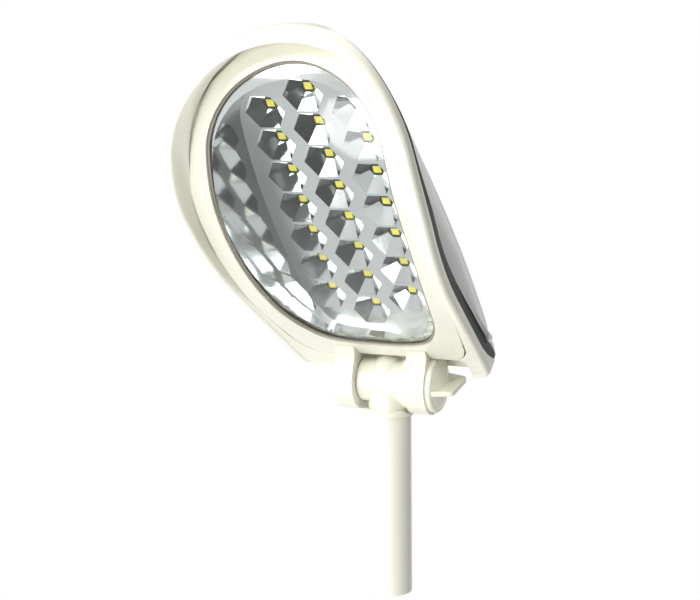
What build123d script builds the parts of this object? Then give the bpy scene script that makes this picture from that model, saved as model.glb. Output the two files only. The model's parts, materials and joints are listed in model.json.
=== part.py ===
from build123d import *
import os
from math import atan, cos, radians, sin

# A dental operating light: a leaning LED lamp head on a friction hinge at the top of a short pole.
# Millimetres, +Z up. The origin is the centre of the pole's lower end, where the stand holds it.
# Sizes on the head use three directions from the hinge: across (+X), along (up to the head's tip)
# and out of the lens.

# Stand
hinge_height = 109.0
pole_diameter = 22.0
pole_wall = 1.5
spigot_clearance = 0.05
spigot_length = 26.0
spigot_wall = 3.0
grub_radius = 2.0
grub_height = 82.0

# Hinge, with places across the head from the pole's centre
barrel_radius = 11.0
barrel_left = -13.4
barrel_right = 9.6
dome_rise = 13.2
neck_step = 0.6
collar_step = 1.6
collar_bottom = -17.0
collar_height = 3.6
ear_radius = 15.3
ear_outer = 24.0
ear_inner = 13.8
washer_thickness = 0.35
running_gap = 0.05
bolt_radius = 3.0
bolt_head_flats = 10.0
bolt_head_height = 4.6
knob_radius = 14.0
knob_base = 3.0
knob_dome = 3.6
wing_tip = 37.6
wing_tip_width = 20.0
wing_thickness = 2.4
wing_angle = 10.0
insert_radius = 4.5
insert_length = 4.6
bolt_end = 27.6
washer_radius = 10.0

# Head shape: profiles are a peak (along, out), the radii below and above it, and the lower slope
head_lean = 34.8
face_profile = ((124.0, 24.0), 200.0, 82.0, 0.38)
crest_profile = ((132.0, 30.5), 167.0, 80.0, 0.37)
ring_depth = 5.5
band_depth = 4.6
band_inset = 0.8
band_width = 1.6
ring_skirt = 1.2
ring_skirt_depth = 3.4
cover_wall = 2.2
parting_gap = 0.15
bezel_plate = 2.6
bezel_skirt = 9.0
skirt_wall = 2.0
lip_height = 1.4
seal_thickness = 0.5
seal_showing = 1.3
ledge = 1.8
fit_gap = 0.1
lens_thickness = 1.5
scoop_radius = 14.7
room_gap = 0.4
room_end = 4.0
room_low = -18.4
room_high = 10.4
room_back = -15.8
room_front = 11.8
room_wall = 1.5

# Light engine
floor_inset = 7.5
floor_level = -5.6
sheet = 1.0
led_level = -12.1
led_pitch = 17.95
column_spacing = 20.82
first_led = 169.8
centre_leds = 8
side_leds = 7
well_flats = 16.6
well_bottom_flats = 5.8
led_size = 5.0
led_height = 1.4
phosphor_size = 3.6
phosphor_height = 0.2
board_inset = 10.0
spreader_inset = 10.9
board_thickness = 1.6
spreader_thickness = 2.0
boss_across = 28.0
boss_radius = 2.6
screw_radius = 1.25
screw_head_radius = 2.4
screw_head_height = 1.6
screw_tip = -8.2

# Rear cover fixings, driver and supply
screw_post_radius = 3.4
screw_recess = 2.4
cover_screw_tip = -6.0
cover_screw_places = [(-33.0, 17.5), (33.0, 17.5)]
driver_along = 96.0
driver_width = 34.0
driver_length = 50.0
driver_thickness = 1.2
spacer_height = 2.0
terminal_height = 4.2
lead_spacing = 3.0
lead_radius = 0.8
lead_level = -22.4
lead_bend = 1.7
gland_along = 34.0
gland_radius = 4.6
gland_inside = -24.6

# Outlines seen straight onto the face: the tip's place, then arcs (radius, turn in degrees) that
# run clockwise down the right side, then the bottom's place and corner radius
lens_outline = (187.25, [(53, 27), (33, 56), (354, 16), (60, 24), (18.4, 40.5), (52.5, 16.5)], None, None)
parting_outline = (195.0, [(86, 9), (46.3, 77), (493, 14.6)], 10.5, 19.0)
outer_outline = (200.5, [(96, 12), (47, 68), (158.5, 13.4)], -3.0, 8.0)
cover_sections = [
    (24.0, (200.0, [(96, 12), (46.2, 50), (46.2, 18), (158.5, 13.4)], -2.2, 8.0)),
    (0.0, (200.0, [(96, 12), (27, 65), (800, 5), (250, 11)], -2.2, 8.0)),
    (-16.0, (199.2, [(50, 14), (20, 58), (300, 7), (950, 8)], -1.5, 10.0)),
    (-28.0, (189.0, [(18, 50), (76, 20), (76, 10.5), (800, 8)], 6.0, 12.0)),
]

os.makedirs("parts", exist_ok=True)

lean = radians(head_lean)
hinge = Vector(0, 0, hinge_height)
along_head = Vector(0, -sin(lean), cos(lean))
out_of_lens = Vector(0, -cos(lean), -sin(lean))
face = Plane(origin=hinge, x_dir=(1, 0, 0), z_dir=out_of_lens)
side = Plane(origin=hinge, x_dir=along_head, z_dir=(1, 0, 0))
section = Plane(origin=hinge, x_dir=(1, 0, 0), z_dir=along_head)


def save(part, name):
    part.label = name
    export_step(part, f"parts/{name}.step")


def arc_end(start, heading, radius, turn):
    """Where a clockwise arc ends when it starts with this heading below +X."""
    return (
        start[0] + radius * (sin(heading + turn) - sin(heading)),
        start[1] - radius * (cos(heading) - cos(heading + turn)),
    )


def outline(shape, grow=0.0, level=0.0):
    """One of the head's outlines as a flat face, grown by an amount, at a level out of the hinge."""
    tip, arcs, bottom, corner = shape
    with BuildSketch(face.offset(level)) as flat:
        with BuildLine():
            point, heading = (0.0, tip), 0.0
            for radius, degrees in arcs:
                turn = radians(degrees)
                end = arc_end(point, heading, radius, turn)
                ThreePointArc(point, arc_end(point, heading, radius, turn / 2), end)
                point, heading = end, heading + turn
            if corner:
                drop = point[1] - bottom - corner * (1 + cos(heading))
                corner_start = (point[0] + drop * cos(heading) / sin(heading), point[1] - drop)
                turn = radians(180) - heading
                Line(point, corner_start)
                point = arc_end(corner_start, heading, corner, turn)
                ThreePointArc(corner_start, arc_end(corner_start, heading, corner, turn / 2), point)
            Line(point, (0.0, point[1]))
            mirror(about=Plane.YZ)
        make_face()
        if grow:
            offset(amount=grow)
    return flat.sketch


def prism(shape, grow=0.0, low=-60.0, high=60.0):
    """A block with an outline's walls, from one level to another."""
    with BuildPart() as block:
        extrude(outline(shape, grow, low), amount=high - low)
    return block.part


def behind(profile, drop=0.0):
    """Everything behind a side profile: a straight rise, a long arc and a tighter arc."""
    (peak_along, peak_out), lower_radius, upper_radius, slope = profile
    floor = -90.0
    foot_along = -60.0
    half_width = 90.0
    far = radians(14)
    rise = atan(slope)
    base = peak_out - drop
    start = (peak_along - lower_radius * sin(rise), base - lower_radius * (1 - cos(rise)))
    middle = (peak_along - lower_radius * sin(rise / 2), base - lower_radius * (1 - cos(rise / 2)))
    foot = (foot_along, start[1] - slope * (start[0] - foot_along))
    peak = (peak_along, base)
    turn = radians(90) - far
    bend = (peak_along + upper_radius * sin(turn / 2), base - upper_radius * (1 - cos(turn / 2)))
    end = (peak_along + upper_radius * sin(turn), base - upper_radius * (1 - cos(turn)))
    with BuildPart() as block:
        with BuildSketch(side):
            with BuildLine():
                Line(foot, start)
                ThreePointArc(start, middle, peak)
                ThreePointArc(peak, bend, end)
                Polyline(end, (end[0], floor), (foot_along, floor), foot)
            make_face()
        extrude(amount=half_width, both=True)
    return block.part


def layer(shape, profile, top, bottom, grow=0.0):
    """A plate that follows a side profile, between two drops below it, with an outline's walls."""
    return (prism(shape, grow) & behind(profile, top)) - behind(profile, bottom)


def rod(radius, left, right, along=0.0, out=0.0):
    """A round bar along the hinge's axis."""
    with BuildPart() as bar:
        with BuildSketch(side.offset(left)):
            with Locations((along, out)):
                Circle(radius)
        extrude(amount=right - left)
    return bar.part


def peg(radius, u, v, low, high):
    """A round bar square to the face of the head."""
    with BuildPart() as bar:
        with BuildSketch(face.offset(low)):
            with Locations((u, v)):
                Circle(radius)
        extrude(amount=high - low)
    return bar.part


# Places of the LEDs, across and along the head: a middle column and two columns half a step lower
led_places = [(0.0, first_led - row * led_pitch) for row in range(centre_leds)]
for column in (-column_spacing, column_spacing):
    led_places += [(column, first_led - (row + 0.5) * led_pitch) for row in range(side_leds)]
boss_places = [
    (across_head, first_led - step * led_pitch)
    for step in (2, 6)
    for across_head in (-boss_across, boss_across)
]

# ---------------------------------------------------------------- stand
pole_radius = pole_diameter / 2
bore_radius = pole_radius - pole_wall
spigot_radius = bore_radius - spigot_clearance
pole_top = hinge_height + collar_bottom
neck_radius = pole_radius - neck_step
collar_radius = pole_radius + collar_step

with BuildPart() as pole_tube:
    with BuildSketch(Plane.XY):
        Circle(pole_radius)
        Circle(bore_radius, mode=Mode.SUBTRACT)
    extrude(amount=pole_top)
    with BuildSketch(Plane.XZ.offset(-pole_radius - 1)):
        with Locations((0, grub_height)):
            Circle(grub_radius)
    extrude(amount=pole_radius, mode=Mode.SUBTRACT)
save(pole_tube.part, "pole_tube")

with BuildPart() as pole_head:
    with BuildSketch(Plane.XY.offset(pole_top - spigot_length)):
        Circle(spigot_radius)
    extrude(amount=spigot_length + 1)
    with BuildSketch(Plane.XY.offset(pole_top)):
        Circle(collar_radius)
    extrude(amount=collar_height)
    collar_edges = edges().filter_by(GeomType.CIRCLE).filter_by(lambda edge: edge.radius > pole_radius)
    fillet(collar_edges, collar_height * 0.3)
    with BuildSketch(Plane.XZ):
        with BuildLine():
            dome_start = hinge_height + 2.0
            Line((0, pole_top), (neck_radius, pole_top))
            Line((neck_radius, pole_top), (neck_radius, dome_start))
            EllipticalCenterArc((0, dome_start), neck_radius, dome_rise - 2.0, start_angle=0, arc_size=90)
            Line((0, hinge_height + dome_rise), (0, pole_top))
        make_face()
    revolve(axis=Axis.Z)
    with BuildSketch(side.offset(barrel_right)):
        Circle(ear_radius)
    extrude(amount=10, mode=Mode.SUBTRACT)
    with BuildSketch(side.offset(barrel_left)):
        Circle(barrel_radius)
    extrude(amount=barrel_right - barrel_left)
    with BuildSketch(side.offset(barrel_left)):
        Circle(bolt_radius + running_gap)
    extrude(amount=barrel_right - barrel_left, mode=Mode.SUBTRACT)
    with BuildSketch(Plane.XY.offset(pole_top - spigot_length)):
        Circle(spigot_radius - spigot_wall)
    extrude(amount=spigot_length - 2, mode=Mode.SUBTRACT)
    with BuildSketch(Plane.XZ.offset(-pole_radius - 1)):
        with Locations((0, grub_height)):
            Circle(grub_radius)
    extrude(amount=pole_radius, mode=Mode.SUBTRACT)
    circles = edges().filter_by(GeomType.CIRCLE)
    barrel_ends = circles.filter_by(lambda edge: abs(edge.radius - barrel_radius) < 0.01)
    chamfer(barrel_ends, 0.5)
save(pole_head.part, "pole_head")

with BuildPart() as grub_screw:
    with BuildSketch(Plane.XZ.offset(-pole_radius + 0.2)):
        with Locations((0, grub_height)):
            Circle(grub_radius)
    extrude(amount=pole_wall + spigot_wall - 0.6)
    with BuildSketch(Plane.XZ.offset(-pole_radius + 0.2)):
        with Locations((0, grub_height)):
            RegularPolygon(1.1, 6)
    extrude(amount=1.6, mode=Mode.SUBTRACT)
save(grub_screw.part, "grub_screw")

# ---------------------------------------------------------------- head casing
def hull(grow):
    """The rear cover's outer or inner form, lofted through its sections."""
    with BuildPart() as form:
        loft([outline(shape, grow, level).face() for level, shape in cover_sections])
    return form.part


cover_back = cover_sections[-1][0]
cover_drop = ring_depth + band_depth
cover_wall_room = prism(outer_outline, 5.0) & behind(crest_profile, cover_drop)
cover_wall_room -= hull(-cover_wall - fit_gap)
shank = rod(bolt_radius + running_gap, -ear_outer - 1, ear_outer + 1)


def room_block(grow):
    """The space the hinge and knob turn in, cut out of the head's lower edge."""
    with BuildPart() as block:
        with BuildSketch(side.offset(-ear_outer - room_gap - grow)):
            Circle(scoop_radius + grow)
            with Locations(((room_low + room_high) / 2, (room_back + room_front) / 2)):
                Rectangle(room_high - room_low + 2 * grow, room_front - room_back + 2 * grow)
        extrude(amount=ear_outer + wing_tip + room_end + room_gap + 2 * grow)
    return block.part


hinge_room = room_block(0)
room_lining = room_block(room_wall) - hinge_room
front_lining = room_lining & prism(outer_outline, -cover_wall - 1.0, room_back + fit_gap, 60)
back_lining = room_lining & prism(outer_outline, 0, -60, room_back)
with BuildPart() as bar_block:
    with BuildSketch(side):
        with Locations((15.0, 0)):
            Rectangle(16.0, 80.0)
    extrude(amount=ear_outer + 16.0, both=True)
bar_room = bar_block.part


def ear(left, right):
    """A hinge ear: a disc on the hinge's axis that runs up into the lower edge of the frame."""
    with BuildPart() as plate:
        with BuildSketch(side.offset(left)):
            Circle(ear_radius)
            with BuildLine():
                Polyline(
                    (12.4, 8.9),
                    (15.9, 3.9),
                    (18.6, 0.9),
                    (21.0, -0.1),
                    (22.2, 0.0),
                    (22.2, -11.0),
                    (11.0, -14.0),
                    (0, -ear_radius),
                    (0, 0),
                    close=True,
                )
            make_face()
        extrude(amount=right - left)
    return plate.part


with BuildPart() as bezel_frame:
    extrude(outline(parting_outline, -parting_gap, -40), amount=90)
    add(behind(face_profile), mode=Mode.INTERSECT)
    hollow = behind(face_profile, bezel_plate) - prism(lens_outline, ledge + skirt_wall) - bar_room
    add(hollow, mode=Mode.SUBTRACT)
    add(behind(face_profile, bezel_skirt), mode=Mode.SUBTRACT)
    add(front_lining & prism(parting_outline, -parting_gap) & behind(face_profile))
    extrude(outline(lens_outline, 0, -40), amount=90, mode=Mode.SUBTRACT)
    add(prism(lens_outline, ledge) & behind(face_profile, lip_height), mode=Mode.SUBTRACT)
    add(cover_wall_room, mode=Mode.SUBTRACT)
    add(rod(scoop_radius, -ear_outer - 0.4, wing_tip + 4), mode=Mode.SUBTRACT)
    add(ear(-ear_outer, -ear_inner))
    add(ear(ear_inner, ear_outer))
    add(rod(ear_radius - 2.3, barrel_right + running_gap + washer_thickness, ear_inner))
    add(shank, mode=Mode.SUBTRACT)
    with BuildSketch(side.offset(-ear_outer)):
        RegularPolygon(bolt_head_flats / 2 + fit_gap, 6, major_radius=False)
    extrude(amount=bolt_head_height + 0.4, mode=Mode.SUBTRACT)
    for place in cover_screw_places:
        add(peg(screw_radius + running_gap, *place, -40, cover_screw_tip + 0.3), mode=Mode.SUBTRACT)
save(bezel_frame.part, "bezel_frame")

with BuildPart() as hood_ring:
    extrude(outline(outer_outline, 0, -60), amount=120)
    add(behind(crest_profile), mode=Mode.INTERSECT)
    add(behind(crest_profile, ring_depth), mode=Mode.SUBTRACT)
    skirt = prism(parting_outline, ring_skirt) & behind(crest_profile)
    add(skirt - behind(face_profile, ring_skirt_depth))
    add(front_lining & behind(crest_profile, 1.0))
    add(prism(parting_outline), mode=Mode.SUBTRACT)
    add(cover_wall_room, mode=Mode.SUBTRACT)
    add(hinge_room, mode=Mode.SUBTRACT)
save(hood_ring.part, "hood_ring")

with BuildPart() as band_gasket:
    extrude(outline(outer_outline, -band_inset, -60), amount=120)
    add(behind(crest_profile, ring_depth), mode=Mode.INTERSECT)
    add(behind(crest_profile, cover_drop), mode=Mode.SUBTRACT)
    add(prism(outer_outline, -band_inset - band_width), mode=Mode.SUBTRACT)
    add(hinge_room, mode=Mode.SUBTRACT)
save(band_gasket.part, "band_gasket")

with BuildPart() as rear_cover:
    add(hull(0))
    add(behind(crest_profile, cover_drop), mode=Mode.INTERSECT)
    add(hull(-cover_wall) & prism(outer_outline, 0, cover_back + cover_wall, 60), mode=Mode.SUBTRACT)
    add(back_lining & hull(0) & behind(crest_profile, cover_drop))
    add(hinge_room, mode=Mode.SUBTRACT)
    for place in cover_screw_places:
        post = peg(screw_post_radius, *place, cover_back + 0.5, 0)
        add(post & behind(face_profile, bezel_skirt + running_gap))
    for place in cover_screw_places:
        add(peg(screw_radius + fit_gap, *place, cover_back - 1, 1), mode=Mode.SUBTRACT)
        recess = peg(screw_head_radius + fit_gap, *place, cover_back - 1, cover_back + screw_recess)
        add(recess, mode=Mode.SUBTRACT)
    add(peg(gland_radius, 0, gland_along, cover_back - 1, cover_back + cover_wall + 1), mode=Mode.SUBTRACT)
save(rear_cover.part, "rear_cover")

# ---------------------------------------------------------------- lens and light engine
lens_top = lip_height + seal_thickness
lens_back = lens_top + lens_thickness

with BuildPart() as lens_seal:
    extrude(outline(lens_outline, ledge - fit_gap, -60), amount=120)
    add(behind(face_profile, lip_height), mode=Mode.INTERSECT)
    add(behind(face_profile, lens_top), mode=Mode.SUBTRACT)
    add(prism(lens_outline, -seal_showing), mode=Mode.SUBTRACT)
save(lens_seal.part, "lens_seal")

with BuildPart() as lens:
    extrude(outline(lens_outline, ledge - fit_gap, -60), amount=120)
    add(behind(face_profile, lens_top), mode=Mode.INTERSECT)
    add(behind(face_profile, lens_back), mode=Mode.SUBTRACT)
save(lens.part, "lens")


def funnel(grow, top, bottom):
    """A hexagonal well that narrows towards its LED, with flat sides facing along the head."""
    with BuildPart() as well:
        with BuildSketch(face.offset(top)):
            RegularPolygon(well_flats / 2 + grow, 6, major_radius=False)
        with BuildSketch(face.offset(bottom)):
            RegularPolygon(well_bottom_flats / 2 + grow, 6, major_radius=False)
        loft()
    return well.part


def tray(grow):
    """The reflector's bowl: it widens from its floor out to the lens."""
    reach = 40.0
    spread = floor_inset * reach / (face_profile[0][1] - floor_level)
    with BuildPart() as bowl:
        floor = outline(lens_outline, grow - floor_inset, floor_level).face()
        mouth = outline(lens_outline, grow - floor_inset + spread, floor_level + reach).face()
        loft([floor, mouth], ruled=True)
    return bowl.part


well_floor = led_level + 0.4
board_top = led_level - led_height
board_back = board_top - board_thickness
spreader_back = board_back - spreader_thickness
well_places = [Location(Vector(u, 0, 0) + along_head * v) for u, v in led_places]

with BuildPart() as reflector:
    add(tray(sheet))
    extrude(outline(lens_outline, sheet - floor_inset, floor_level - sheet), amount=sheet)
    add(layer(lens_outline, face_profile, lens_back, lens_back + sheet, ledge - fit_gap))
    add(behind(face_profile, lens_back), mode=Mode.INTERSECT)
    add(tray(0), mode=Mode.SUBTRACT)
    for place in boss_places:
        add(peg(boss_radius, *place, board_top, floor_level - sheet))
    with Locations(*well_places):
        add(funnel(sheet, floor_level - sheet / 2, well_floor))
    with Locations(*well_places):
        add(funnel(0, floor_level, well_floor), mode=Mode.SUBTRACT)
    for place in boss_places:
        add(peg(screw_radius + running_gap, *place, board_top, screw_tip + 0.2), mode=Mode.SUBTRACT)
save(reflector.part, "reflector")

with BuildPart() as led_board:
    extrude(outline(lens_outline, -board_inset, board_back), amount=board_thickness)
    for place in boss_places:
        add(peg(screw_radius + fit_gap, *place, board_back - 1, board_top + 1), mode=Mode.SUBTRACT)
save(led_board.part, "led_board")

with BuildPart() as led_bodies:
    with BuildSketch(face.offset(board_top)):
        with Locations(*led_places):
            Rectangle(led_size, led_size)
    extrude(amount=led_height - phosphor_height)
save(led_bodies.part, "led_bodies")

with BuildPart() as led_phosphors:
    with BuildSketch(face.offset(led_level - phosphor_height)):
        with Locations(*led_places):
            Rectangle(phosphor_size, phosphor_size)
    extrude(amount=phosphor_height)
save(led_phosphors.part, "led_phosphors")

with BuildPart() as heat_spreader:
    extrude(outline(lens_outline, -spreader_inset, spreader_back), amount=spreader_thickness)
    for place in boss_places:
        add(peg(screw_radius + fit_gap, *place, spreader_back - 1, board_back + 1), mode=Mode.SUBTRACT)
save(heat_spreader.part, "heat_spreader")

with BuildPart() as engine_screws:
    for place in boss_places:
        add(peg(screw_head_radius, *place, spreader_back - screw_head_height, spreader_back))
        add(peg(screw_radius, *place, spreader_back, screw_tip))
save(engine_screws.part, "engine_screws")

# ---------------------------------------------------------------- driver behind the heat spreader
driver_top = spreader_back - spacer_height
driver_back = driver_top - driver_thickness
spacer_places = [
    (across_head, driver_along + step)
    for step in (-driver_length / 2 + 4, driver_length / 2 - 4)
    for across_head in (-driver_width / 2 + 4, driver_width / 2 - 4)
]

with BuildPart() as driver_spacers:
    for place in spacer_places:
        add(peg(2.0, *place, driver_top, spreader_back))
save(driver_spacers.part, "driver_spacers")

with BuildPart() as driver_board:
    with BuildSketch(face.offset(driver_back)):
        with Locations((0, driver_along)):
            RectangleRounded(driver_width, driver_length, 2.0)
    extrude(amount=driver_thickness)
save(driver_board.part, "driver_board")


def chip(u, v, width, length, height):
    """A block soldered on the back of the driver board."""
    with BuildPart() as block:
        with BuildSketch(face.offset(driver_back - height)):
            with Locations((u, driver_along + v)):
                Rectangle(width, length)
        extrude(amount=height)
    return block.part


with BuildPart() as driver_chips:
    add(chip(-5, 2, 6, 5, 1.6))
    add(chip(7, 14, 4.5, 4.5, 1.4))
    add(chip(-9, -9, 3.2, 1.6, 1.0))
    add(chip(-9, -5.5, 3.2, 1.6, 1.0))
save(driver_chips.part, "driver_chips")

with BuildPart() as driver_coil:
    add(peg(5.0, 7, driver_along + 2, driver_back - 4.0, driver_back))
save(driver_coil.part, "driver_coil")

with BuildPart() as supply_terminal:
    add(chip(0, -driver_length / 2 + 4, 10, 7, terminal_height))
    for lead_across in (-lead_spacing / 2, lead_spacing / 2):
        with BuildSketch(section.offset(driver_along - driver_length / 2)):
            with Locations((lead_across, -lead_level)):
                Circle(lead_radius + running_gap)
        extrude(amount=3.0, mode=Mode.SUBTRACT)
save(supply_terminal.part, "supply_terminal")


def lead(across_head):
    """One supply lead, from the gland in the rear cover up to the terminal."""
    def spot(v, w):
        return hinge + Vector(across_head, 0, 0) + along_head * v + out_of_lens * w

    with BuildPart() as wire:
        with BuildLine() as route:
            FilletPolyline(
                spot(gland_along, gland_inside - 2.0),
                spot(gland_along, lead_level),
                spot(driver_along - driver_length / 2 + 3, lead_level),
                radius=lead_bend,
            )
        with BuildSketch(Plane(origin=route.line @ 0, z_dir=route.line % 0)):
            Circle(lead_radius)
        sweep()
    return wire.part


save(lead(-lead_spacing / 2), "supply_lead_live")
save(lead(lead_spacing / 2), "supply_lead_return")

with BuildPart() as cable_gland:
    add(peg(gland_radius + 1.6, 0, gland_along, cover_back - 1.6, cover_back))
    add(peg(gland_radius, 0, gland_along, cover_back, cover_back + cover_wall))
    add(peg(gland_radius + 1.2, 0, gland_along, cover_back + cover_wall, gland_inside))
    for lead_across in (-lead_spacing / 2, lead_spacing / 2):
        hole = peg(lead_radius + running_gap, lead_across, gland_along, cover_back - 2, gland_inside + 1)
        add(hole, mode=Mode.SUBTRACT)
save(cable_gland.part, "cable_gland")

with BuildPart() as cover_screws:
    for place in cover_screw_places:
        seat = cover_back + screw_recess
        add(peg(screw_head_radius, *place, seat - screw_head_height, seat))
        add(peg(screw_radius, *place, seat, cover_screw_tip))
save(cover_screws.part, "cover_screws")

# ---------------------------------------------------------------- hinge bolt and knob
with BuildPart() as hinge_bolt:
    with BuildSketch(side.offset(-ear_outer + 0.4)):
        RegularPolygon(bolt_head_flats / 2, 6, major_radius=False)
    extrude(amount=bolt_head_height)
    with BuildSketch(side.offset(-ear_outer + 0.4)):
        Circle(bolt_radius)
    extrude(amount=ear_outer - 0.4 + bolt_end)
save(hinge_bolt.part, "hinge_bolt")

for name, left in (("thrust_washer_left", -ear_inner), ("thrust_washer_right", barrel_right + running_gap)):
    with BuildPart() as washer:
        with BuildSketch(side.offset(left)):
            Circle(washer_radius)
            Circle(bolt_radius + running_gap, mode=Mode.SUBTRACT)
        extrude(amount=washer_thickness)
    save(washer.part, name)

knob_left = ear_outer + running_gap
knob_face = knob_left + knob_base
wing_plane = Plane(
    origin=hinge,
    x_dir=(1, 0, 0),
    z_dir=(0, -sin(radians(wing_angle)), cos(radians(wing_angle))),
)
dome_radius = knob_radius - 1.4

with BuildPart() as wing_knob:
    with BuildSketch(Plane(origin=hinge, x_dir=(1, 0, 0), z_dir=(0, -1, 0))):
        with BuildLine():
            Polyline(
                (knob_left, 0),
                (knob_left, knob_radius),
                (knob_face - 0.8, knob_radius),
                (knob_face, knob_radius - 0.8),
                (knob_face, dome_radius),
            )
            ThreePointArc(
                (knob_face, dome_radius),
                (knob_face + knob_dome * 0.75, dome_radius / 2),
                (knob_face + knob_dome, 0),
            )
            Line((knob_face + knob_dome, 0), (knob_left, 0))
        make_face()
    revolve(axis=Axis(hinge, (1, 0, 0)))
    with BuildSketch(wing_plane.offset(-wing_thickness / 2)):
        with BuildLine():
            Polyline(
                (knob_face - 1, -knob_radius + 0.8),
                (wing_tip, -wing_tip_width / 2),
                (wing_tip, wing_tip_width / 2),
                (knob_face - 1, knob_radius - 0.8),
                close=True,
            )
        make_face()
        tip_corners = vertices().sort_by(Axis.X)[-2:]
        fillet(tip_corners, 2.5)
    extrude(amount=wing_thickness)
    add(rod(insert_radius, knob_left, knob_left + insert_length), mode=Mode.SUBTRACT)
save(wing_knob.part, "wing_knob")

with BuildPart() as knob_insert:
    with BuildSketch(side.offset(knob_left)):
        Circle(insert_radius)
        Circle(bolt_radius + running_gap, mode=Mode.SUBTRACT)
    extrude(amount=insert_length)
save(knob_insert.part, "knob_insert")
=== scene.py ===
"""Looks for the dental operating light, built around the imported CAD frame."""

import json
import math

import bmesh
import bpy
from mathutils import Matrix, Vector


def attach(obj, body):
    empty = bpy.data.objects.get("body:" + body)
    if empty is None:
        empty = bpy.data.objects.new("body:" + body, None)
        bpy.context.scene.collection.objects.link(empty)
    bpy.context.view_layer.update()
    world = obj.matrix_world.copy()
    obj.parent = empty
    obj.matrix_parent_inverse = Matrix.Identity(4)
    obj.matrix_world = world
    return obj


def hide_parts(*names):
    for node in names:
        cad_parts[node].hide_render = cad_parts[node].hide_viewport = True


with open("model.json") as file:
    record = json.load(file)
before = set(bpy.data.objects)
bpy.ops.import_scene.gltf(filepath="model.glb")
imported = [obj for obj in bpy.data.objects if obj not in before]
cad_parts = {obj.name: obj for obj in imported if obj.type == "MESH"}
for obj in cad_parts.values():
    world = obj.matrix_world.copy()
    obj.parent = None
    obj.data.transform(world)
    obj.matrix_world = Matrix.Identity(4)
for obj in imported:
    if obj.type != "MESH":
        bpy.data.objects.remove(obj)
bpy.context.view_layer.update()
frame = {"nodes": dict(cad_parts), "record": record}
nodes = frame["nodes"]
scene = bpy.context.scene

LEAN = math.radians(34.8)
HINGE = Vector((0.0, 0.0, 0.109))
ALONG = Vector((0.0, -math.sin(LEAN), math.cos(LEAN)))
OUT = Vector((0.0, -math.cos(LEAN), -math.sin(LEAN)))


def head(u, v, w):
    """A place on the head, in millimetres across, along and out of the lens from the hinge."""
    return HINGE + (Vector((1, 0, 0)) * u + ALONG * v + OUT * w) / 1000.0


# ------------------------------------------------------------------ materials
def node(tree, kind, **values):
    made = tree.nodes.new(kind)
    for key, value in values.items():
        setattr(made, key, value)
    return made


def surface(name, colour, rough, metal=0.0, vary=0.04, grain=900.0, bump=0.02, rough_vary=0.05,
            stretch=(1, 1, 1), coat=0.0, ior=1.5, spec=0.5):
    """A material with mottled colour, uneven gloss and a fine surface grain."""
    material = bpy.data.materials.new(name)
    material.use_nodes = True
    tree = material.node_tree
    shader = tree.nodes["Principled BSDF"]
    place = node(tree, "ShaderNodeTexCoord")
    scale = node(tree, "ShaderNodeMapping")
    scale.inputs["Scale"].default_value = stretch
    tree.links.new(place.outputs["Object"], scale.inputs["Vector"])
    broad = node(tree, "ShaderNodeTexNoise")
    broad.inputs["Scale"].default_value = 35.0
    broad.inputs["Detail"].default_value = 4.0
    tree.links.new(scale.outputs["Vector"], broad.inputs["Vector"])
    tint = node(tree, "ShaderNodeValToRGB")
    dark = [c * (1 - vary) for c in colour]
    light = [min(1.0, c * (1 + vary * 0.6)) for c in colour]
    tint.color_ramp.elements[0].position = 0.32
    tint.color_ramp.elements[0].color = (*dark, 1)
    tint.color_ramp.elements[1].position = 0.68
    tint.color_ramp.elements[1].color = (*light, 1)
    tree.links.new(broad.outputs["Fac"], tint.inputs["Fac"])
    tree.links.new(tint.outputs["Color"], shader.inputs["Base Color"])
    fine = node(tree, "ShaderNodeTexNoise")
    fine.inputs["Scale"].default_value = grain
    fine.inputs["Detail"].default_value = 6.0
    tree.links.new(scale.outputs["Vector"], fine.inputs["Vector"])
    gloss = node(tree, "ShaderNodeMapRange")
    gloss.inputs["To Min"].default_value = max(0.02, rough - rough_vary)
    gloss.inputs["To Max"].default_value = min(1.0, rough + rough_vary)
    tree.links.new(fine.outputs["Fac"], gloss.inputs["Value"])
    tree.links.new(gloss.outputs["Result"], shader.inputs["Roughness"])
    relief = node(tree, "ShaderNodeBump")
    relief.inputs["Strength"].default_value = bump
    relief.inputs["Distance"].default_value = 0.0004
    tree.links.new(fine.outputs["Fac"], relief.inputs["Height"])
    tree.links.new(relief.outputs["Normal"], shader.inputs["Normal"])
    shader.inputs["Metallic"].default_value = metal
    shader.inputs["Coat Weight"].default_value = coat
    shader.inputs["Coat Roughness"].default_value = 0.08
    shader.inputs["IOR"].default_value = ior
    shader.inputs["Specular IOR Level"].default_value = spec
    return material


def clear(name):
    """Clear moulded plastic that lets light through to what is behind it."""
    material = surface(name, (0.97, 0.98, 0.98), 0.03, vary=0.004, grain=240.0, bump=0.015, rough_vary=0.015)
    tree = material.node_tree
    shader = tree.nodes["Principled BSDF"]
    shader.inputs["Transmission Weight"].default_value = 1.0
    shader.inputs["IOR"].default_value = 1.45
    through = node(tree, "ShaderNodeBsdfTransparent")
    through.inputs["Color"].default_value = (0.96, 0.97, 0.97, 1)
    path = node(tree, "ShaderNodeLightPath")
    either = node(tree, "ShaderNodeMath", operation="MAXIMUM")
    tree.links.new(path.outputs["Is Shadow Ray"], either.inputs[0])
    tree.links.new(path.outputs["Is Diffuse Ray"], either.inputs[1])
    mix = node(tree, "ShaderNodeMixShader")
    tree.links.new(either.outputs[0], mix.inputs["Fac"])
    tree.links.new(shader.outputs["BSDF"], mix.inputs[1])
    tree.links.new(through.outputs["BSDF"], mix.inputs[2])
    tree.links.new(mix.outputs["Shader"], tree.nodes["Material Output"].inputs["Surface"])
    return material


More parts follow.
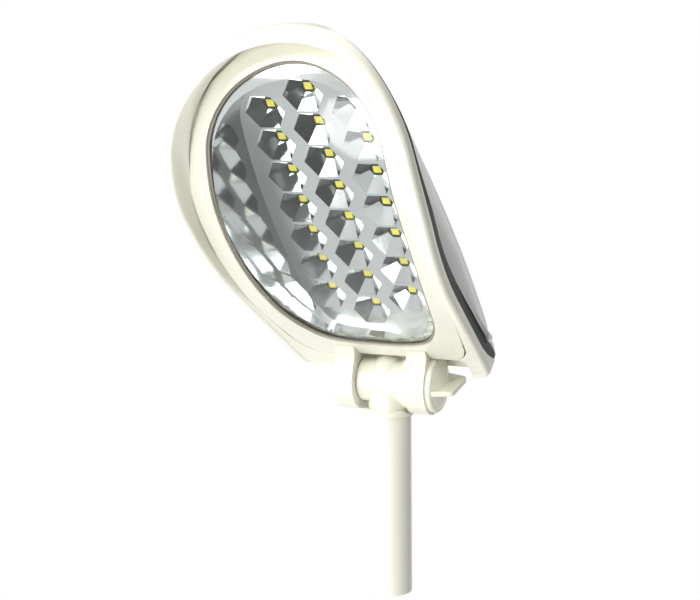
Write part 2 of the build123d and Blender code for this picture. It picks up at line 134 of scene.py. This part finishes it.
CREAM = (0.84, 0.83, 0.71)
cream = surface("cream_plastic", CREAM, 0.27,
                vary=0.012, grain=700.0, bump=0.003, rough_vary=0.012, coat=0.2)
paint = surface("pole_paint", (0.85, 0.84, 0.73), 0.22,
                vary=0.01, grain=400.0, bump=0.004, rough_vary=0.012, coat=0.3)
rear = surface("rear_plastic", (0.70, 0.72, 0.69), 0.32,
               vary=0.015, grain=700.0, bump=0.004, rough_vary=0.015, coat=0.1)
gasket = surface("dark_rubber", (0.075, 0.085, 0.08), 0.55, vary=0.12, grain=1800.0, bump=0.15)
seal = surface("seal_rubber", (0.3, 0.27, 0.22), 0.45, vary=0.1, grain=1500.0, bump=0.1)
mirror = surface("mirror_coat", (0.80, 0.83, 0.82), 0.07, metal=1.0,
                 vary=0.02, grain=320.0, bump=0.02, rough_vary=0.03)
# The tray's flat land is satin and greyer than the polished sides of its wells
mirror_tree = mirror.node_tree
mirror_shader = mirror_tree.nodes["Principled BSDF"]
faces_way = node(mirror_tree, "ShaderNodeNewGeometry")
facing = node(mirror_tree, "ShaderNodeVectorMath", operation="DOT_PRODUCT")
facing.inputs[1].default_value = OUT
flat_land = node(mirror_tree, "ShaderNodeMapRange")
flat_land.inputs["From Min"].default_value = 0.97
flat_land.inputs["From Max"].default_value = 0.99
as_made = node(mirror_tree, "ShaderNodeVectorTransform",
               vector_type="NORMAL", convert_from="WORLD", convert_to="OBJECT")
mirror_tree.links.new(faces_way.outputs["True Normal"], as_made.inputs["Vector"])
mirror_tree.links.new(as_made.outputs["Vector"], facing.inputs[0])
mirror_tree.links.new(facing.outputs["Value"], flat_land.inputs["Value"])
land_tone = node(mirror_tree, "ShaderNodeMix", data_type="RGBA")
polished = mirror_shader.inputs["Base Color"].links[0].from_socket
mirror_tree.links.new(polished, land_tone.inputs[6])
land_tone.inputs[7].default_value = (0.72, 0.75, 0.745, 1)
mirror_tree.links.new(flat_land.outputs["Result"], land_tone.inputs[0])
mirror_tree.links.new(land_tone.outputs[2], mirror_shader.inputs["Base Color"])
land_gloss = node(mirror_tree, "ShaderNodeMath", operation="MULTIPLY_ADD")
land_gloss.inputs[1].default_value = 0.24
mirror_tree.links.new(flat_land.outputs["Result"], land_gloss.inputs[0])
mirror_tree.links.new(mirror_shader.inputs["Roughness"].links[0].from_socket, land_gloss.inputs[2])
mirror_tree.links.new(land_gloss.outputs[0], mirror_shader.inputs["Roughness"])
lens_clear = clear("clear_lens")
board = surface("board_green", (0.02, 0.11, 0.05), 0.4, vary=0.2, grain=700.0, bump=0.1, coat=0.4)
led_black = surface("led_black", (0.012, 0.012, 0.011), 0.35, vary=0.2, grain=2500.0, bump=0.08)
phosphor = surface("phosphor_yellow", (0.74, 0.66, 0.07), 0.5, vary=0.12, grain=3000.0, bump=0.15)
aluminium = surface("spreader_aluminium", (0.7, 0.71, 0.72), 0.35, metal=1.0, vary=0.05, grain=900.0, bump=0.1,
                    stretch=(1, 12, 1))
steel = surface("steel", (0.5, 0.5, 0.49), 0.3, metal=1.0,
                vary=0.08, grain=1200.0, bump=0.1, stretch=(1, 1, 8))
brass = surface("brass", (0.72, 0.52, 0.22), 0.3, metal=1.0, vary=0.08, grain=1200.0, bump=0.1)
chip = surface("chip_black", (0.02, 0.02, 0.02), 0.5, vary=0.2, grain=2500.0, bump=0.1)
ferrite = surface("coil_ferrite", (0.06, 0.06, 0.065), 0.65, vary=0.2, grain=1500.0, bump=0.3)
terminal = surface("terminal_white", (0.78, 0.78, 0.74), 0.4, vary=0.03, grain=1500.0, bump=0.08)
red = surface("lead_red", (0.4, 0.012, 0.012), 0.45, vary=0.1, grain=1500.0, bump=0.08)
black = surface("lead_black", (0.015, 0.015, 0.015), 0.45, vary=0.2, grain=1500.0, bump=0.08)
nylon = surface("washer_nylon", (0.72, 0.71, 0.65), 0.45, vary=0.03, grain=1500.0, bump=0.08)

FINISHES = {
    "cream_plastic": cream,
    "pole_paint": paint,
    "rear_plastic": rear,
    "dark_rubber": gasket,
    "seal_rubber": seal,
    "clear_lens": lens_clear,
    "mirror_coat": mirror,
    "board_green": board,
    "led_black": led_black,
    "phosphor_yellow": phosphor,
    "spreader_aluminium": aluminium,
    "steel": steel,
    "brass": brass,
    "chip_black": chip,
    "coil_ferrite": ferrite,
    "terminal_white": terminal,
    "lead_red": red,
    "lead_black": black,
    "washer_nylon": nylon,
}
for part in frame["record"]["subparts"]:
    for place in nodes[part["node"]].material_slots:
        place.material = FINISHES[part["material_slot"]]

# ------------------------------------------------------------------ head shells
# The same outlines and side profiles as the CAD source: a tip, arcs (radius, turn) down the right
# side, then the bottom's place and its corner radius; a peak, two radii and the lower slope.
PARTING = (195.0, [(86, 9), (46.3, 77), (493, 14.6)], 10.5, 19.0)
OUTER = (200.5, [(96, 12), (47, 68), (158.5, 13.4)], -3.0, 8.0)
COVER = [
    (24.0, (200.0, [(96, 12), (46.2, 50), (46.2, 18), (158.5, 13.4)], -2.2, 8.0)),
    (0.0, (200.0, [(96, 12), (27, 65), (800, 5), (250, 11)], -2.2, 8.0)),
    (-16.0, (199.2, [(50, 14), (20, 58), (300, 7), (950, 8)], -1.5, 10.0)),
    (-28.0, (189.0, [(18, 50), (76, 20), (76, 10.5), (800, 8)], 6.0, 12.0)),
]
FACE = ((124.0, 24.0), 200.0, 82.0, 0.38)
CREST = ((132.0, 30.5), 167.0, 80.0, 0.37)
EAR_OUTER, WING_TIP, SCOOP = 24.0, 37.6, 14.7
ROOM_LOW, ROOM_HIGH, ROOM_BACK, ROOM_FRONT = -18.4, 10.4, -15.8, 11.8
ROOM_CORNER = 10.39
ROOM_LEFT, ROOM_RIGHT = -EAR_OUTER - 0.4, WING_TIP + 4.0
SCREW_ACROSS, SCREW_ALONG, SCREW_WAY_RADIUS = 33.0, 17.5, 4.2
COVER_WALL = 0.0018


def outline(shape, grow=0.0):
    """Points round one outline, clockwise from the tip, grown by an amount."""
    tip, arcs, bottom, corner = shape
    spots, place, heading = [], (0.0, tip), 0.0
    length = sum(radius * math.radians(turn) for radius, turn in arcs)
    steps = 96
    travelled = 0.0
    wanted = [length * k / steps for k in range(steps + 1)]
    for radius, degrees in arcs:
        turn = math.radians(degrees)
        span = radius * turn
        while wanted and wanted[0] <= travelled + span + 1e-9:
            now = heading + (wanted.pop(0) - travelled) / radius
            spots.append((place[0] + radius * (math.sin(now) - math.sin(heading)),
                          place[1] - radius * (math.cos(heading) - math.cos(now)), now))
        place = (place[0] + radius * (math.sin(heading + turn) - math.sin(heading)),
                 place[1] - radius * (math.cos(heading) - math.cos(heading + turn)))
        travelled += span
        heading += turn
    drop = place[1] - bottom - corner * (1 + math.cos(heading))
    start = (place[0] + drop * math.cos(heading) / math.sin(heading), place[1] - drop)
    for k in range(1, 13):
        spots.append((place[0] + (start[0] - place[0]) * k / 12, place[1] - drop * k / 12, heading))
    turn = math.pi - heading
    for k in range(1, 15):
        now = heading + turn * k / 14
        spots.append((start[0] + corner * (math.sin(now) - math.sin(heading)),
                      start[1] - corner * (math.cos(heading) - math.cos(now)), now))
    end = spots[-1]
    for k in range(1, 19):
        spots.append((end[0] * (1 - k / 18), end[1], math.pi))
    half = [(u + grow * math.sin(now), v + grow * math.cos(now)) for u, v, now in spots]
    return half + [(-u, v) for u, v in reversed(half[1:-1])]


def rise(profile, v):
    """How far a side profile stands out of the lens at a place along the head."""
    (peak_v, peak_w), lower, upper, slope = profile
    step = abs(v - peak_v)
    if v > peak_v:
        reach = min(step, upper * 0.97)
        fall = upper - math.sqrt(upper * upper - reach * reach)
        return peak_w - fall - (step - reach) * 4.0
    reach = min(step, lower * math.sin(math.atan(slope)))
    return peak_w - (lower - math.sqrt(lower * lower - reach * reach)) - (step - reach) * slope


def between(a, b, share):
    """Points a share of the way from one rail to another."""
    return [tuple(p + (q - p) * share for p, q in zip(one, two)) for one, two in zip(a, b)]


def rail(shape, grow, profile, drop):
    return [(u, v, rise(profile, v) - drop) for u, v in outline(shape, grow)]


def skin(name, rails, body, material, stands_for, closed=True, cap=False):
    """A smooth mesh through rails of equal length."""
    count = len(rails[0])
    spots = [head(*spot) for one in rails for spot in one]
    faces = []
    rows = len(rails) if closed else len(rails) - 1
    for row in range(rows):
        low, high = row * count, ((row + 1) % len(rails)) * count
        for k in range(count):
            n = (k + 1) % count
            faces.append((low + k, low + n, high + n, high + k))
    if cap:
        faces.append(tuple(range((len(rails) - 1) * count, len(rails) * count)))
    mesh = bpy.data.meshes.new(name)
    mesh.from_pydata(spots, [], faces)
    mesh.update()
    made = bpy.data.objects.new(name, mesh)
    scene.collection.objects.link(made)
    mesh.materials.append(material)
    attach(made, body)
    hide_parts(stands_for)
    return made


def outward(thing):
    """Turns every face of a closed mesh to face out."""
    shape = bmesh.new()
    shape.from_mesh(thing.data)
    bmesh.ops.recalc_face_normals(shape, faces=shape.faces)
    shape.to_mesh(thing.data)
    shape.free()


def block(name, spots, left, right):
    """A cutter whose side view is a closed line of (along, out) places."""
    count = len(spots)
    corners = [head(left, v, w) for v, w in spots] + [head(right, v, w) for v, w in spots]
    faces = [tuple(range(count)), tuple(reversed(range(count, 2 * count)))]
    faces += [(k, k + count, (k + 1) % count + count, (k + 1) % count) for k in range(count)]
    mesh = bpy.data.meshes.new(name)
    mesh.from_pydata(corners, [], faces)
    made = bpy.data.objects.new(name, mesh)
    scene.collection.objects.link(made)
    outward(made)
    return made


def carve(thing, cutter):
    """Takes the cutter away from the mesh, for good."""
    change = thing.modifiers.new("carve", "BOOLEAN")
    change.object = cutter
    change.operation = "DIFFERENCE"
    change.solver = "EXACT"
    graph = bpy.context.evaluated_depsgraph_get()
    result = bpy.data.meshes.new_from_object(thing.evaluated_get(graph))
    thing.modifiers.clear()
    thing.data = result


def shade(thing, degrees):
    """Smooth shading, with edges sharper than an angle kept crisp."""
    shape = bmesh.new()
    shape.from_mesh(thing.data)
    for face in shape.faces:
        face.smooth = True
    for edge in shape.edges:
        edge.smooth = len(edge.link_faces) != 2 or edge.calc_face_angle(0) < math.radians(degrees)
    shape.to_mesh(thing.data)
    shape.free()


def graded(marks, v):
    """A size that changes smoothly along the head between marked places."""
    for (low, a), (high, b) in zip(marks, marks[1:]):
        if v <= high:
            share = max(0.0, (v - low) / (high - low))
            share = share * share * (3 - 2 * share)
            return a + (b - a) * share
    return marks[-1][1]


def band_depth(v):
    """The dark strip's depth: deep near the lower end, none at its corners, thin towards the tip."""
    return graded([(-1.5, 0.4), (9, 7.2), (30, 7.6), (125, 5.0), (160, 3.0), (185, 1.6), (210, 0.9)], v)


def ring_depth(v):
    """The rim's outer wall is deeper round the head's lower corners."""
    return graded([(-1.5, 11.0), (22, 5.8), (210, 5.5)], v)


# The space the hinge and the knob turn in, as a cutter
room = [(SCOOP * math.cos(a), SCOOP * math.sin(a)) for a in [math.radians(k) for k in range(0, 360, 6)]]
room = [(v, w) for v, w in room if not (ROOM_LOW < v < ROOM_HIGH and ROOM_BACK < w < ROOM_FRONT)]
room += [(ROOM_HIGH, -ROOM_CORNER), (ROOM_HIGH, ROOM_CORNER)]
room = sorted(room, key=lambda p: math.atan2(p[1], p[0]))
room += [(ROOM_HIGH, ROOM_FRONT), (ROOM_LOW, ROOM_FRONT), (ROOM_LOW, ROOM_BACK), (ROOM_HIGH, ROOM_BACK)]
hinge_room = block("hinge_room", room, ROOM_LEFT, ROOM_RIGHT)


def deep_rail(grow, short, band=0.0):
    """A rail on the rim's outer wall, short of its lower edge or a share of the strip past it."""
    return [
        (u, v, rise(CREST, v) - ring_depth(v) + short - band * band_depth(v))
        for u, v in outline(OUTER, grow)
    ]


inner = [(u, v, rise(FACE, v) + 0.05) for u, v in outline(PARTING, 1.0)]
ridge = [(u, v, rise(CREST, v) - 0.9) for u, v in outline(OUTER, -3.2)]
ring_rails = [
    rail(PARTING, 0.4, FACE, 2.6),
    rail(PARTING, 0.45, FACE, 0.9),
    rail(PARTING, 0.6, FACE, 0.22),
    inner,
    between(inner, ridge, 0.12),
    between(inner, ridge, 0.5),
    between(inner, ridge, 0.88),
    ridge,
    rail(OUTER, -2.5, CREST, 0.3),
    rail(OUTER, -1.8, CREST, 0.05),
    rail(OUTER, -1.1, CREST, 0.3),
    rail(OUTER, -0.5, CREST, 0.85),
    rail(OUTER, -0.12, CREST, 1.7),
    rail(OUTER, 0.0, CREST, 2.6),
    deep_rail(0.0, 0.5),
    deep_rail(-0.1, 0.2),
    deep_rail(-0.35, 0.05),
    deep_rail(-2.6, 0.05),
]
ring = skin("hood_shell", ring_rails, "lamp_head", cream, "hood_ring")
outward(ring)
carve(ring, hinge_room)
shade(ring, 40)

marks = ((-2.4, 0), (-0.8, 0), (-0.65, 0.15), (-0.6, 0.5), (-0.65, 0.85), (-0.8, 1), (-2.4, 1))
band_rails = [deep_rail(grow, 0.0, share) for grow, share in marks]
band = skin("band_strip", band_rails, "lamp_head", gasket, "band_gasket")
outward(band)
carve(band, hinge_room)
shade(band, 40)

levels = [level for level, _ in COVER]
sections = [outline(shape) for _, shape in COVER]


def cover_spot(k, w):
    """The cover's side at one place round it, at a level: a smooth curve through the sections."""
    w = min(max(w, levels[-1]), levels[0])
    j = 0
    while j < len(levels) - 2 and w < levels[j + 1]:
        j += 1
    share = (levels[j] - w) / (levels[j] - levels[j + 1])
    spot = []
    for axis in (0, 1):
        a, b = sections[j][k][axis], sections[j + 1][k][axis]
        before = sections[j - 1][k][axis] if j else a
        after = sections[j + 2][k][axis] if j + 2 < len(sections) else b + (b - a) * 1.6
        gap = levels[j] - levels[j + 1]
        in_gap = (levels[j - 1] if j else levels[j] + gap) - levels[j + 1]
        in_slope = (b - before) / in_gap * gap if j else b - a
        out_gap = levels[j] - (levels[j + 2] if j + 2 < len(levels) else levels[j + 1] - gap)
        out_slope = (after - a) / out_gap * gap
        s2, s3 = share * share, share ** 3
        spot.append((2 * s3 - 3 * s2 + 1) * a + (s3 - 2 * s2 + share) * in_slope
                    + (3 * s2 - 2 * s3) * b + (s3 - s2) * out_slope)
    return spot


BACK = levels[-1]
EDGE = 5.0
edge_line = deep_rail(-0.9, 0.0, 1.0)
cover_rails = []
steps = 16
for step in range(steps + 1):
    one = []
    for k, (u, v, top) in enumerate(edge_line):
        w = top + (BACK + EDGE - top) * step / steps
        at_top = cover_spot(k, top)
        here = cover_spot(k, w)
        fade_out = max(0.0, 1 - (top - w) / 26.0) ** 2
        one.append((here[0] + (u - at_top[0]) * fade_out, here[1] + (v - at_top[1]) * fade_out, w))
    cover_rails.append(one)
middle_v = 95.0
# Eased over and over, with the row at the dark strip left where it is
for _ in range(14):
    eased = [cover_rails[0]]
    for step in range(1, steps + 1):
        one, over, under = cover_rails[step], cover_rails[step - 1], cover_rails[min(step + 1, steps)]
        count = len(one)
        eased.append([
            tuple(0.4 * one[k][axis] + 0.15 * (one[k - 1][axis] + one[(k + 1) % count][axis]
                                               + over[k][axis] + under[k][axis]) for axis in (0, 1)) + (one[k][2],)
            for k in range(count)
        ])
    cover_rails = eased
base = cover_rails[-1]
toward_back = [cover_spot(k, BACK) for k in range(len(base))]
for turn in (15, 30, 45, 60, 75, 90):
    a = math.radians(turn)
    one = []
    for (u, v, w), (bu, bv) in zip(base, toward_back):
        pull = math.sin(a)
        mu, mv = u + (bu - u) * pull, v + (bv - v) * pull
        length = math.hypot(mu, mv - middle_v)
        inset = EDGE * (1 - math.cos(a)) / length
        one.append((mu * (1 - inset), mv + (middle_v - mv) * inset, BACK + EDGE * (1 - math.sin(a))))
    cover_rails.append(one)
for share in (0.12, 0.35, 0.65):
    cover_rails.append([(u * (1 - share), v + (middle_v - v) * share, w) for u, v, w in cover_rails[-1]])
cover = skin("rear_shell", cover_rails, "lamp_head", rear, "rear_cover",
             closed=False, cap=True)
thick = cover.modifiers.new("wall", "SOLIDIFY")
thick.thickness = COVER_WALL
thick.offset = -1.0
outward(cover)
graph = bpy.context.evaluated_depsgraph_get()
solid = bpy.data.meshes.new_from_object(cover.evaluated_get(graph))
cover.modifiers.clear()
cover.data = solid
carve(cover, hinge_room)

# Ways through the cover for its two screws
SIDES = 36
for u in (-SCREW_ACROSS, SCREW_ACROSS):
    circle = []
    for k in range(SIDES):
        turn = math.radians(10 * k)
        across, along = SCREW_WAY_RADIUS * math.cos(turn), SCREW_WAY_RADIUS * math.sin(turn)
        circle.append((u + across, SCREW_ALONG + along))
    corners = [head(a, v, w) for w in (-34.0, -10.0) for a, v in circle]
    sides = [(k, (k + 1) % SIDES, (k + 1) % SIDES + SIDES, k + SIDES) for k in range(SIDES)]
    ends = [tuple(range(SIDES)), tuple(reversed(range(SIDES, 2 * SIDES)))]
    way_mesh = bpy.data.meshes.new("screw_way")
    way_mesh.from_pydata(corners, [], sides + ends)
    screw_way = bpy.data.objects.new("screw_way", way_mesh)
    scene.collection.objects.link(screw_way)
    outward(screw_way)
    carve(cover, screw_way)
    bpy.data.objects.remove(screw_way)
shade(cover, 40)
bpy.data.objects.remove(hinge_room)

# The wall behind the hinge, so the cut in the head's lower edge is closed
wall_line = [(-1.2, -15.75), (4.0, -15.75), (10.4, -15.75), (10.4, -13.0), (10.4, -10.39)]
wall_turns = [math.radians(k) for k in range(-41, -21, 4)]
wall_line += [(SCOOP * math.cos(turn), SCOOP * math.sin(turn)) for turn in wall_turns]
lining_spots, lining_faces = [], []
for depth in (0.0, 1.2):
    for u in (ROOM_LEFT, ROOM_RIGHT):
        for v, w in wall_line:
            lining_spots.append(head(u, v + depth, w - (depth if w < -15 else 0.0)))
row = len(wall_line)
for k in range(row - 1):
    lining_faces.append((k, k + 1, row + k + 1, row + k))
    lining_faces.append((2 * row + k, 3 * row + k, 3 * row + k + 1, 2 * row + k + 1))
    lining_faces.append((k, 2 * row + k, 2 * row + k + 1, k + 1))
    lining_faces.append((row + k, row + k + 1, 3 * row + k + 1, 3 * row + k))
lining_faces.append((0, row, 3 * row, 2 * row))
lining_faces.append((row - 1, 3 * row - 1, 4 * row - 1, 2 * row - 1))
lining_mesh = bpy.data.meshes.new("hinge_lining")
lining_mesh.from_pydata(lining_spots, [], lining_faces)
lining = bpy.data.objects.new("hinge_lining", lining_mesh)
scene.collection.objects.link(lining)
lining_mesh.materials.append(cream)
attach(lining, "lamp_head")
outward(lining)
shade(lining, 35)

# ------------------------------------------------------------------ camera
TURN, RISE, ROLL = math.radians(24.4), math.radians(9.2), math.radians(-0.66)
right = Vector((math.cos(TURN), math.sin(TURN), 0))
ahead = Vector((-math.sin(TURN) * math.cos(RISE), math.cos(TURN) * math.cos(RISE), -math.sin(RISE)))
up = right.cross(ahead)
rolled_right = right * math.cos(ROLL) + up * math.sin(ROLL)
rolled_up = up * math.cos(ROLL) - right * math.sin(ROLL)
lens_data = bpy.data.cameras.new("camera")
lens_data.lens = 72.1
lens_data.sensor_width = 36.0
lens_data.clip_start = 0.01
camera = bpy.data.objects.new("camera", lens_data)
scene.collection.objects.link(camera)
turned = Matrix((rolled_right, rolled_up, -ahead)).transposed().to_4x4()
camera.matrix_world = Matrix.Translation((0.2654, -0.6314, 0.2607)) @ turned
scene.camera = camera

# ------------------------------------------------------------------ light and surroundings
scene.view_settings.view_transform = "Standard"


def lamp(name, place, aim, size, power, height=None):
    data = bpy.data.lights.new(name, "AREA")
    data.shape = "RECTANGLE"
    data.size = size
    data.size_y = height or size
    data.energy = power
    made = bpy.data.objects.new(name, data)
    made.location = place
    made.rotation_euler = (Vector(aim) - Vector(place)).to_track_quat("-Z", "Y").to_euler()
    scene.collection.objects.link(made)
    return made


middle = (0.0, -0.05, 0.2)
lamp("key", (-0.9, -1.0, 1.1), middle, 0.9, 17.0)
lamp("fill", (-0.15, -1.3, -0.05), middle, 0.8, 12.0)
lamp("side", (1.3, -0.3, 0.5), middle, 0.8, 5.0)
lamp("top", (0.1, 0.4, 1.3), middle, 0.8, 3.5)

world = bpy.data.worlds.new("world")
scene.world = world
world.use_nodes = True
tree = world.node_tree
background = tree.nodes["Background"]
path = node(tree, "ShaderNodeLightPath")
where = node(tree, "ShaderNodeTexCoord")
fade = node(tree, "ShaderNodeValToRGB")
fade.color_ramp.elements[0].position = 0.3
fade.color_ramp.elements[0].color = (0.04, 0.04, 0.04, 1)
fade.color_ramp.elements[1].position = 0.6
fade.color_ramp.elements[1].color = (0.85, 0.85, 0.85, 1)
aim = node(tree, "ShaderNodeVectorMath", operation="DOT_PRODUCT")
aim.inputs[1].default_value = (-0.85, 0.3, 0.1)
tree.links.new(where.outputs["Generated"], aim.inputs[0])
toward = node(tree, "ShaderNodeMapRange")
toward.inputs["From Min"].default_value = -1.0
toward.inputs["From Max"].default_value = 1.0
tree.links.new(aim.outputs["Value"], toward.inputs["Value"])
tree.links.new(toward.outputs["Result"], fade.inputs["Fac"])
pick = node(tree, "ShaderNodeMix", data_type="RGBA")
pick.inputs[7].default_value = (1, 1, 1, 1)
tree.links.new(path.outputs["Is Camera Ray"], pick.inputs[0])
tree.links.new(fade.outputs["Color"], pick.inputs[6])
tree.links.new(pick.outputs[2], background.inputs["Color"])

floor_mesh = bpy.data.meshes.new("floor")
FLOOR = -0.3
FLOOR_RADIUS = 0.6
turns = [math.radians(5 * k) for k in range(72)]
rim = [(FLOOR_RADIUS * math.cos(turn), FLOOR_RADIUS * math.sin(turn), FLOOR) for turn in turns]
floor_mesh.from_pydata(rim, [], [tuple(range(72))])
floor = bpy.data.objects.new("floor", floor_mesh)
scene.collection.objects.link(floor)
floor.visible_glossy = False
floor.visible_transmission = False
paper = surface("floor_paper", (0.8, 0.8, 0.8), 0.8, vary=0.01, grain=60.0, bump=0.01)
floor_mesh.materials.append(paper)
glow = node(paper.node_tree, "ShaderNodeEmission")
seen = node(paper.node_tree, "ShaderNodeLightPath")
blend = node(paper.node_tree, "ShaderNodeMixShader")
spot = node(paper.node_tree, "ShaderNodeTexCoord")
far = node(paper.node_tree, "ShaderNodeVectorMath", operation="LENGTH")
flat = node(paper.node_tree, "ShaderNodeVectorMath", operation="MULTIPLY")
flat.inputs[1].default_value = (1, 1, 0)
paper.node_tree.links.new(spot.outputs["Object"], flat.inputs[0])
paper.node_tree.links.new(flat.outputs["Vector"], far.inputs[0])
edge = node(paper.node_tree, "ShaderNodeMapRange", interpolation_type="SMOOTHSTEP")
edge.inputs["From Min"].default_value = 0.22
edge.inputs["From Max"].default_value = 0.58
paper.node_tree.links.new(far.outputs["Value"], edge.inputs["Value"])
share = node(paper.node_tree, "ShaderNodeMath", operation="MULTIPLY")
paper.node_tree.links.new(seen.outputs["Is Camera Ray"], share.inputs[0])
paper.node_tree.links.new(edge.outputs["Result"], share.inputs[1])
paper.node_tree.links.new(share.outputs[0], blend.inputs["Fac"])
paper.node_tree.links.new(paper.node_tree.nodes["Principled BSDF"].outputs["BSDF"], blend.inputs[1])
paper.node_tree.links.new(glow.outputs["Emission"], blend.inputs[2])
paper.node_tree.links.new(blend.outputs["Shader"], paper.node_tree.nodes["Material Output"].inputs["Surface"])
